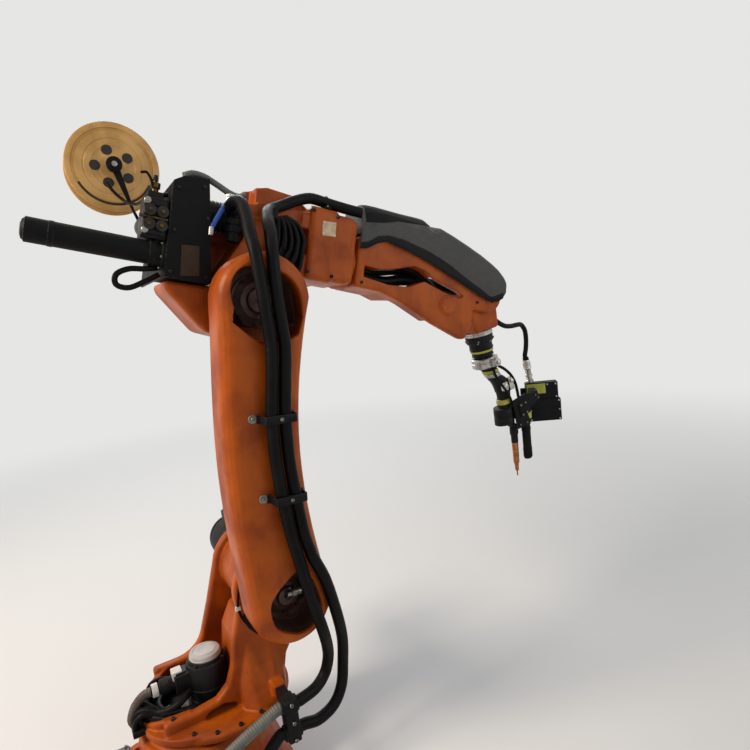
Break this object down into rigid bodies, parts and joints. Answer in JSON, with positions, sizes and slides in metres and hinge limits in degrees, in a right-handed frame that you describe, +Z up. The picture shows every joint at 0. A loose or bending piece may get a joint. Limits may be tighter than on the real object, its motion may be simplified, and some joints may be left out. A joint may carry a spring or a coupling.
{
  "type": "industrial robot arm",
  "caption": "Articulated welding robot arm with a bowed link arm, open forearm, rear wire feeder with spool, bent welding torch and a seam sensor box, dressed with hoses.",
  "frame": {"origin": "centre of the base's flat underside, on the axis about which the column turns", "axes": "+Z up, +X the way the arm reaches at rest, +Y to the side away from the link arm"},
  "size_m": [1.3905, 0.5353, 1.4396],
  "materials": {
    "orange_paint": "satin",
    "motor_black": "satin",
    "black_metal": "matte",
    "black_plastic": "matte",
    "dark_cover": "matte",
    "hose_rubber": "matte",
    "pale_cap": "matte",
    "gear_cover": "satin",
    "bare_steel": "satin",
    "spool_plastic": "satin",
    "brass": "satin"
  },
  "bodies": {
    "base": {"base_frame": "orange_paint", "junction_box": "dark_cover", "base_hose_inner": "hose_rubber", "base_hose_outer": "hose_rubber"},
    "column": {"rotating_column": "orange_paint", "a1_motor": "motor_black", "a1_motor_cap": "pale_cap", "a1_motor_plug": "black_plastic", "a2_motor": "motor_black", "column_hose_clamp": "black_plastic", "shoulder_hose_inner": "hose_rubber", "shoulder_hose_outer": "hose_rubber"},
    "link": {"link_arm": "orange_paint", "a2_gear_cover": "gear_cover", "a3_gear_cover": "gear_cover", "hose_clip_upper": "black_plastic", "hose_clip_lower": "black_plastic", "link_hose_rear": "hose_rubber", "link_hose_front": "hose_rubber", "elbow_hose_rear": "hose_rubber", "elbow_hose_front": "hose_rubber"},
    "elbow": {"elbow_housing": "orange_paint", "a3_motor": "motor_black", "a4_motor": "motor_black", "a5_motor": "motor_black", "a6_motor": "motor_black", "feeder_bracket": "black_metal", "wire_drive": "motor_black", "feeder_boom": "black_metal", "spool_arm": "black_metal", "wire_spool": "spool_plastic", "hose_gland": "black_plastic", "elbow_cable_loop": "hose_rubber", "arm_hose": "hose_rubber", "arm_hose_clip": "black_plastic", "cover_hose": "hose_rubber"},
    "forearm": {"forearm_casting": "orange_paint", "forearm_cover": "dark_cover", "torch_cable": "hose_rubber", "wrist_cable": "hose_rubber"},
    "wrist": {"wrist_hand": "orange_paint", "sensor_hose": "hose_rubber"},
    "tool": {"tool_flange": "bare_steel", "breakaway_mount": "motor_black", "clamp_collar": "bare_steel", "torch_body": "motor_black", "torch_nozzle": "brass", "tool_bracket": "black_metal", "sensor_box": "black_plastic", "sensor_plug": "bare_steel"}
  },
  "joints": [
    {"name": "a1_column_turn", "type": "hinge", "parent": "base", "child": "column", "pos_m": [0, 0, 0.15], "axis": [0, 0, -1], "range_deg": [-155, 155], "deforming": ["base_hose_inner", "base_hose_outer"]},
    {"name": "a2_link_swing", "type": "hinge", "parent": "column", "child": "link", "pos_m": [0.18, 0, 0.4], "axis": [0, -1, 0], "range_deg": [-152, 93], "deforming": ["shoulder_hose_inner", "shoulder_hose_outer"]},
    {"name": "a3_elbow_swing", "type": "hinge", "parent": "link", "child": "elbow", "pos_m": [0.2114, 0, 0.99918], "axis": [0, 1, 0], "range_deg": [-117, 50], "deforming": ["elbow_hose_rear", "elbow_hose_front"]},
    {"name": "a4_forearm_roll", "type": "hinge", "parent": "elbow", "child": "forearm", "pos_m": [0.24375, 0, 1.11992], "axis": [0.9659, 0, -0.2588], "range_deg": [-350, 350], "deforming": ["cover_hose"]},
    {"name": "a5_wrist_tilt", "type": "hinge", "parent": "forearm", "child": "wrist", "pos_m": [0.84263, 0, 0.95945], "axis": [0, -1, 0], "range_deg": [-64, 176], "deforming": ["wrist_cable"]},
    {"name": "a6_tool_turn", "type": "hinge", "parent": "wrist", "child": "tool", "pos_m": [0.84263, 0, 0.95945], "axis": [0.1564, 0, -0.9877], "range_deg": [-350, 350], "deforming": ["sensor_hose"]}
  ]
}
